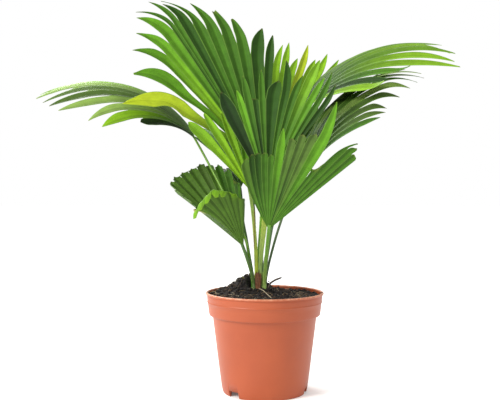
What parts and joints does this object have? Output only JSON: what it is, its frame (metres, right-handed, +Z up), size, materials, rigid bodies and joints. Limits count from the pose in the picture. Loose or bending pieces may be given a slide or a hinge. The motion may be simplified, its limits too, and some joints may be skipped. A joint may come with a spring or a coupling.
{
  "type": "potted footstool palm",
  "caption": "Young footstool palm in a terracotta-coloured nursery pot: pleated round fan leaves on slim stalks, spreading from one short stem.",
  "frame": {"origin": "middle of the pot's flat underside, where the plant stands", "axes": "+Z up, -Y towards the side seen in the picture, +X to the right of it"},
  "size_m": [0.5415, 0.36, 0.505],
  "materials": {
    "pot": "satin terracotta-coloured moulded plastic",
    "soil": "dark crumbly potting soil",
    "stem": "dry brown and green leaf sheaths",
    "stalk": "smooth yellow-green leaf stalk",
    "leaf_deep": "smooth mid-green leaf with fine ribs",
    "leaf_bright": "smooth yellow-green leaf with fine ribs",
    "leaf_shaded": "matte olive-green leaf underside with fine ribs"
  },
  "bodies": {
    "root": {"pot": "pot", "soil": "soil", "stem": "stem", "stalk_upper_left": "stalk", "stalk_mid_left": "stalk", "stalk_left": "stalk", "stalk_low_left": "stalk", "stalk_front": "stalk", "stalk_centre": "stalk", "stalk_back_upright": "stalk", "stalk_upper_right": "stalk", "stalk_right": "stalk", "stalk_back_left": "stalk", "stalk_back": "stalk", "stalk_back_right": "stalk", "stalk_low_back": "stalk", "blade_upper_left": "leaf_deep", "blade_mid_left": "leaf_bright", "blade_left": "leaf_shaded", "blade_low_left": "leaf_deep", "blade_front": "leaf_deep", "blade_centre": "leaf_deep", "blade_back_upright": "leaf_bright", "blade_upper_right": "leaf_bright", "blade_right": "leaf_shaded", "blade_back_left": "leaf_deep", "blade_back": "leaf_deep", "blade_back_right": "leaf_deep", "blade_low_back": "leaf_deep"}
  },
  "joints": []
}
